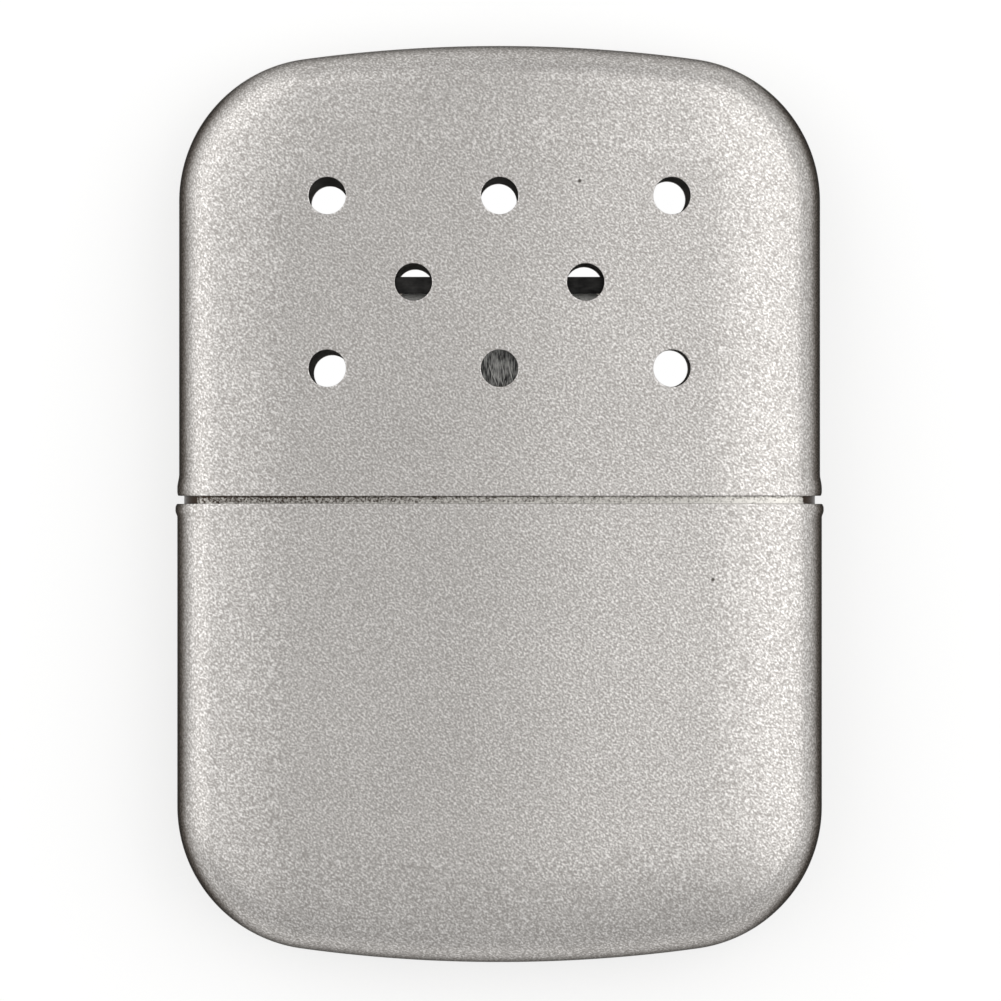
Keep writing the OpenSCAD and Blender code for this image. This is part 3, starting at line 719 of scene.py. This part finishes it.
dimples = growPiece("gripDimples", makeDimples(), {
    "Across": collar["dimpleX"] * mm, "Height": -collarSizes["Top"] / 2,
    "Face": collarSizes["Half Thickness"] - collar["dimpleSink"] * mm, "Diameter": collar["dimple"] * mm,
    "Rise": collar["dimpleRise"] * mm, "Plate": finishes["scuffedShadedNickel"]})
dimples.data.transform(upright)
thicken(tankTop, collar["wall"], True)
softenEdges(tankTop, collar["edgeRounding"], 50)


def joinPieces(kept, *others):
    # puts the others' meshes into the first piece, which keeps its name
    whole = bmesh.new()
    for piece in (kept,) + others:
        whole.from_mesh(piece.data)
    whole.to_mesh(kept.data)
    whole.free()
    for piece in others:
        bpy.data.objects.remove(piece)


joinPieces(tankTop, dimples)
shadeSmooth(tankTop)
mount(tankTop, "tank", "collar_plate", "tank_top")
print("tank top:", len(tankTop.data.polygons), "faces")


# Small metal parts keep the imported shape, merged from its loose triangles and given soft edges.
metalParts = {
    # name: node, finish, slot, body, edge rounding
    "fillerNeck": ("neck", "neckBrass", "neck_brass", "tank", 0.07),
    "neckGasket": ("neck_gasket", "gasketFibre", "gasket", "tank", 0.05),
    "burnerSocket": ("burner_socket", "tintedSteel", "burner_steel", "burner", 0.05),
    "vapourPlate": ("vapour_plate", "tintedSteel", "burner_steel", "burner", 0.04),
    "cageFront": ("cage_front", "tintedSteel", "burner_steel", "burner", 0.06),
    "cageBack": ("cage_back", "tintedSteel", "burner_steel", "burner", 0.06),
    "cageRivets": ("cage_rivets", "rivetSteel", "rivet_steel", "burner", 0.05),
    "burnerCap": ("burner_cap", "nearBlackCapSteel", "cap_steel", "burner", 0.08),
}


def mergedCopy(name, node):
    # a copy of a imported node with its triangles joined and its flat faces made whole
    piece = addObject(name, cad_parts[node].data.copy())
    mesh = bmesh.new()
    mesh.from_mesh(piece.data)
    bmesh.ops.remove_doubles(mesh, verts=mesh.verts, dist=gaps["packed"] * mm)
    bmesh.ops.dissolve_limit(mesh, angle_limit=math.radians(0.5), verts=mesh.verts, edges=mesh.edges)
    mesh.to_mesh(piece.data)
    mesh.free()
    return piece


for name, (node, finish, slot, body, rounding) in metalParts.items():
    part = mergedCopy(name, node)
    part.data.materials.clear()
    part.data.materials.append(finishes[finish])
    softenEdges(part, rounding, 40)
    mount(part, body, slot, node)
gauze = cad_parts["support_gauze"]
gauze.data.materials.clear()
gauze.data.materials.append(finishes["gauzeWire"])
print("metal parts:", len(metalParts))


# The catalyst cloth lies over the mat like a saddle, its strands running up one side and down the other.
cloth = {
    "thickness": 0.42, "foldRadius": 2.1, "strand": 0.42, "strandRelief": 0.22, "fold": 3.2, "foldRelief": 0.2,
    "fibres": 0.55,                      # loose fibres to a square millimetre
    "fibreLength": 3.0, "fibreDiameter": 0.09, "fibreTurn": 22, "seed": 7,
    "drawnOut": (0.1, 0.1, 1),           # the strands' noise, stretched along them
    "sink": -0.75,                       # share of both reliefs, which keeps the strands in the cloth's box
    "middle": (0, 0.8, 1),               # times a point's place: what its relief points away from
    "shortest": 0.4,                     # a short fibre beside a long one
    "cutLength": 30,                     # along the saddle, down one side and up the other
}
clothLow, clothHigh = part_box("catalyst_cloth")


def makeClothSheet():
    # a strip that follows an arch, with strands raised along it
    tree, add, size = startTree("catalystCloth", [
        "Width", "Depth", "Height", "Fold Radius", "Strand", "Strand Relief", "Fold", "Fold Relief"],
        {"Fibre": "NodeSocketMaterial"})
    halfDepth = add("Math", [size["Depth"], 0.5], operation="MULTIPLY")
    shoulder = add("Math", [size["Height"], size["Fold Radius"]], operation="SUBTRACT")
    inner = add("Math", [halfDepth, size["Fold Radius"]], operation="SUBTRACT")
    foot = add("CombineXYZ", [halfDepth])
    top = add("CombineXYZ", [halfDepth, shoulder])
    leg = add("CurvePrimitiveLine", [foot, top])
    bend = arcAbout(add, points["bend"], size["Fold Radius"], 0, math.pi / 2, inner, shoulder)
    arch = chain(add, withMirrored(add, [leg, bend]) + [lineAcross(add, inner, size["Height"])])
    path = add("ResampleCurve", {"Curve": arch, "Count": points["along"]})
    halfWidth = add("Math", [size["Width"], 0.5], operation="MULTIPLY")
    side = add("CombineXYZ", {"Y": halfWidth})
    otherSide = add("VectorMath", {0: side, "Scale": -1}, operation="SCALE")
    weft = add("CurvePrimitiveLine", [side, otherSide])
    weftSteps = add("ResampleCurve", {"Curve": weft, "Count": points["across"]})
    strip = add("CurveToMesh", [path, weftSteps])
    position = add("InputPosition")
    drawn = add("VectorMath", [position, cloth["drawnOut"]], operation="MULTIPLY")
    strandScale = add("Math", [1, size["Strand"]], operation="DIVIDE")
    strands = add("TexNoise", {"Vector": drawn, "Scale": strandScale, "Detail": 2})
    foldScale = add("Math", [1, size["Fold"]], operation="DIVIDE")
    folds = add("TexNoise", {"Vector": position, "Scale": foldScale, "Detail": 1})
    strandRise = add("Math", [strands, size["Strand Relief"]], operation="MULTIPLY")
    foldRise = add("Math", [folds, size["Fold Relief"]], operation="MULTIPLY")
    rise = add("Math", [strandRise, foldRise], operation="ADD")
    both = add("Math", [size["Strand Relief"], size["Fold Relief"]], operation="ADD")
    lowered = add("Math", [both, cloth["sink"], rise], operation="MULTIPLY_ADD")
    middle = add("VectorMath", [position, cloth["middle"]], operation="MULTIPLY")
    fromMiddle = add("VectorMath", [position, middle], operation="SUBTRACT")
    outwards = add("VectorMath", [fromMiddle], operation="NORMALIZE")
    offset = add("VectorMath", {0: outwards, "Scale": lowered}, operation="SCALE")
    uneven = add("SetPosition", {"Geometry": strip, "Offset": offset})
    return endTree(tree, uneven, size["Fibre"])


def makeLooseFibres():
    # short bent fibres scattered over the cloth, nearly all along its strands
    tree, add, size = startTree("looseFibres", ["Density", "Length", "Diameter", "Turn"],
                                {"Seed": "NodeSocketInt", "Fibre": "NodeSocketMaterial"})
    scattered = add("DistributePointsOnFaces", {
        "Mesh": size["Base"], "Density": size["Density"], "Seed": size["Seed"]})
    straight = add("CurvePrimitiveBezierSegment", {"Resolution": 6, "Start": (0, -0.5, 0.01),
        "Start Handle": (0.05, -0.2, 0.05), "End Handle": (-0.05, 0.2, 0.05), "End": (0.02, 0.5, 0.01)})
    radius = add("Math", [size["Diameter"], size["Length"]], operation="DIVIDE")
    halved = add("Math", [radius, 0.5], operation="MULTIPLY")
    ring = add("CurvePrimitiveCircle", {"Resolution": 4, "Radius": halved})
    fibre = add("CurveToMesh", {"Curve": straight, "Profile Curve": ring, "Fill Caps": True})
    along = add("VectorMath", [scattered.outputs["Normal"], (1, 0, 0)], operation="CROSS_PRODUCT")
    facing = add("AxesToRotation", {"Primary Axis": scattered.outputs["Normal"], "Secondary Axis": along},
        primary_axis="Z", secondary_axis="Y")
    back = add("Math", [size["Turn"], -1], operation="MULTIPLY")
    stray = add("RandomValue", {2: back, 3: size["Turn"], "Seed": size["Seed"]}, data_type="FLOAT")
    strayTurn = add("CombineXYZ", {"Z": stray.outputs[1]})
    turned = add("RotateRotation", {"Rotation": facing, "Rotate By": strayTurn}, rotation_space="LOCAL")
    longest = add("Math", [size["Length"], cloth["shortest"]], operation="MULTIPLY")
    length = add("RandomValue", {2: longest, 3: size["Length"], "Seed": size["Seed"]}, data_type="FLOAT")
    fibres = add("InstanceOnPoints", {"Points": scattered, "Instance": fibre, "Rotation": turned,
        "Scale": length.outputs[1]})
    return endTree(tree, fibres, size["Fibre"])


catalystCloth = growPiece("catalystCloth", makeClothSheet(), {
    "Width": clothHigh.x - clothLow.x, "Depth": clothHigh.z - clothLow.z, "Height": clothHigh.y - clothLow.y,
    **asInputs(cloth, "foldRadius", "strand", "strandRelief", "fold", "foldRelief"),
    "Fibre": finishes["catalystFibre"]})
faceOutwards(catalystCloth)
catalystCloth.data.transform(Matrix.Translation((0, clothLow.y, midZ)) @ Matrix.Rotation(math.pi / 2, 4, "Y"))
strands = growPiece("looseFibres", makeLooseFibres(), {
    "Density": cloth["fibres"] / mm ** 2, "Length": cloth["fibreLength"] * mm,
    "Diameter": cloth["fibreDiameter"] * mm, "Turn": math.radians(cloth["fibreTurn"]), "Seed": cloth["seed"],
    "Fibre": finishes["whiteStrand"]}, catalystCloth.data)
thicken(catalystCloth, cloth["thickness"], False)
settle(catalystCloth)
catalystCloth.data.shade_smooth()
mount(catalystCloth, "burner", "catalyst", "catalyst_cloth")
mount(strands, "burner", "catalyst")
print("cloth:", len(catalystCloth.data.polygons), "faces", [round(c / mm, 2) for c in catalystCloth.dimensions])


# Wads, mats and felt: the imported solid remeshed, rounded by smoothing and made lumpy.
pads = {
    # name: node, finish, slot, body, mesh size, lump height, lump size, fill
    "cottonLeft": ("batting_left", "cotton", "cotton", "tank", 0.6, 0.5, 3.5, 0.8),
    "cottonCentre": ("batting_centre", "cotton", "cotton", "tank", 0.6, 0.5, 3.5, 0.8),
    "cottonRight": ("batting_right", "cotton", "cotton", "tank", 0.6, 0.5, 3.5, 0.8),
    "wickFelt": ("mouth_felt", "wickFelt", "felt", "tank", 0.22, 0.12, 1.2, 1),
    "glassWool": ("glass_wool_core", "glassWool", "glass_wool", "burner", 0.25, 0.25, 1.2, 0.7),
    "glassMat": ("glass_mat", "glassMat", "glass_mat", "burner", 0.2, 0.12, 1.4, 0.8),
}
lumping = {"detail": 3, "roughness": 0.55, "sink": 0.85, "smoothing": 6}   # sink keeps the lumps inside the solid


def makeLumps():
    tree, add, size = startTree("softLumps", ["Height", "Spacing"], {"Stuff": "NodeSocketMaterial"})
    spacing = add("Math", [1, size["Spacing"]], operation="DIVIDE")
    lumps = add("TexNoise", {"Scale": spacing, "Detail": lumping["detail"], "Roughness": lumping["roughness"]})
    sunk = add("Math", [lumps, lumping["sink"]], operation="SUBTRACT")
    depth = add("Math", [sunk, size["Height"]], operation="MULTIPLY")
    normal = add("InputNormal")
    offset = add("VectorMath", {0: normal, "Scale": depth}, operation="SCALE")
    lumpy = add("SetPosition", {"Geometry": size["Base"], "Offset": offset})
    return endTree(tree, lumpy, size["Stuff"])


lumpTree = makeLumps()
for name, (node, finish, slot, body, grid, height, spacing, fill) in pads.items():
    solid = mergedCopy(name + "Solid", node)
    evened = solid.modifiers.new("even", "REMESH")
    evened.mode = "VOXEL"
    evened.voxel_size = grid * mm
    smoothed = solid.modifiers.new("smooth", "SMOOTH")
    smoothed.iterations = lumping["smoothing"]
    settle(solid)
    solid.data.materials.clear()
    pad = growPiece(name, lumpTree, {"Height": height * mm, "Spacing": spacing * mm, "Stuff": finishes[finish]},
                    solid.data)
    bpy.data.objects.remove(solid)
    pad.data.shade_smooth()
    mount(pad, body, slot, node)
print("soft parts:", len(pads))


# Table, light and camera. The photograph is a straight view of the front face, so the camera
# stands over it and looks down, with the top of the picture along +Y.
room = {
    # a share of the floor is plain white, and all of it under the vents, as the photograph shows
    "floor": "#f6f6f5", "floorWhite": 0.62, "clear": (22.5, 12.8), "clearEdge": 1.5,
    "floorReach": 4000, "floorDepth": -0.03,             # just under the case, so that the two don't touch
    "air": "#ffffff", "airStrength": 0.73,
    "cameraHeight": 570, "cameraX": 0.1, "cameraY": 0.38, "lens": 186.6,
    # lamp: place, size, watts, aimed at
    "rightLamp": ((335, 128, 290), (920, 418), 1.13, (0, 0, 6)),
    "rightHighLamp": ((215, 30, 613), (560, 324), 0.35, (0, 0, 6)),
    "leftLamp": ((-372, 180, 190), (920, 370), 0.97, (0, 0, 6)),
    "leftHighLamp": ((-290, 40, 460), (760, 280), 0.27, (0, 0, 6)),
}


def makeFloorStuff():
    # white card, part of it plain white whatever falls on it, seen directly, mirrored or through glass
    material, add, place = startMaterial("whiteCard")
    fromVents = add("VectorMath", [place, (0, vents["middleRow"] * mm, 0)], operation="SUBTRACT")
    spread = add("VectorMath", [fromVents, (room["clear"][0] * mm, room["clear"][1] * mm, 1)], operation="DIVIDE")
    off = add("VectorMath", [spread], operation="ABSOLUTE")
    axes = add("SeparateXYZ", [off]).outputs
    farthest = add("Math", [axes["X"], axes["Y"]], operation="MAXIMUM")
    share = add("MapRange", {"Value": farthest, "From Min": 1, "From Max": room["clearEdge"], "To Min": 1,
        "To Max": room["floorWhite"]}, interpolation_type="SMOOTHSTEP")
    rays = add("LightPath").outputs
    direct = add("Math", [rays["Is Camera Ray"], rays["Is Glossy Ray"]], operation="MAXIMUM")
    seen = add("Math", [direct, rays["Is Transmission Ray"]], operation="MAXIMUM")
    fac = add("Math", [seen, share], operation="MULTIPLY")
    card = add("BsdfDiffuse", {"Color": colour(room["floor"])})
    white = add("Emission", {"Color": (1, 1, 1, 1), "Strength": 1})
    mixed = add("MixShader", [fac, card, white])
    add("OutputMaterial", {"Surface": mixed})
    return material


reach = room["floorReach"] * mm
floorMesh = bpy.data.meshes.new("floor")
corners = [(x * reach, y * reach, room["floorDepth"] * mm) for x, y in ((-1, -1), (1, -1), (1, 1), (-1, 1))]
floorMesh.from_pydata(corners, [], [(0, 1, 2, 3)])
floorMesh.materials.append(makeFloorStuff())
addObject("floor", floorMesh)

for name in ("rightLamp", "rightHighLamp", "leftLamp", "leftHighLamp"):
    place, span, watts, aim = room[name]
    lamp = addObject(name, bpy.data.lights.new(name, "AREA"))
    lamp.data.shape = "RECTANGLE"
    lamp.data.size, lamp.data.size_y = (s * mm for s in span)
    lamp.data.energy = watts
    lamp.location = Vector(place) * mm
    lamp.rotation_euler = (Vector(aim) * mm - lamp.location).to_track_quat("-Z", "Y").to_euler()

world = bpy.data.worlds.new("studio")
bpy.context.scene.world = world
world.use_nodes = True
world.node_tree.nodes.clear()
air = addNode(world.node_tree, "Background", {"Color": colour(room["air"]), "Strength": room["airStrength"]})
addNode(world.node_tree, "OutputWorld", {"Surface": air})

camera = addObject("camera", bpy.data.cameras.new("camera"))
camera.data.lens = room["lens"]
camera.data.clip_start = 10 * mm
camera.location = Vector((room["cameraX"], room["cameraY"], room["cameraHeight"])) * mm
bpy.context.scene.camera = camera
bpy.context.scene.view_settings.view_transform = "Standard"
print("room: floor, lamps and camera")
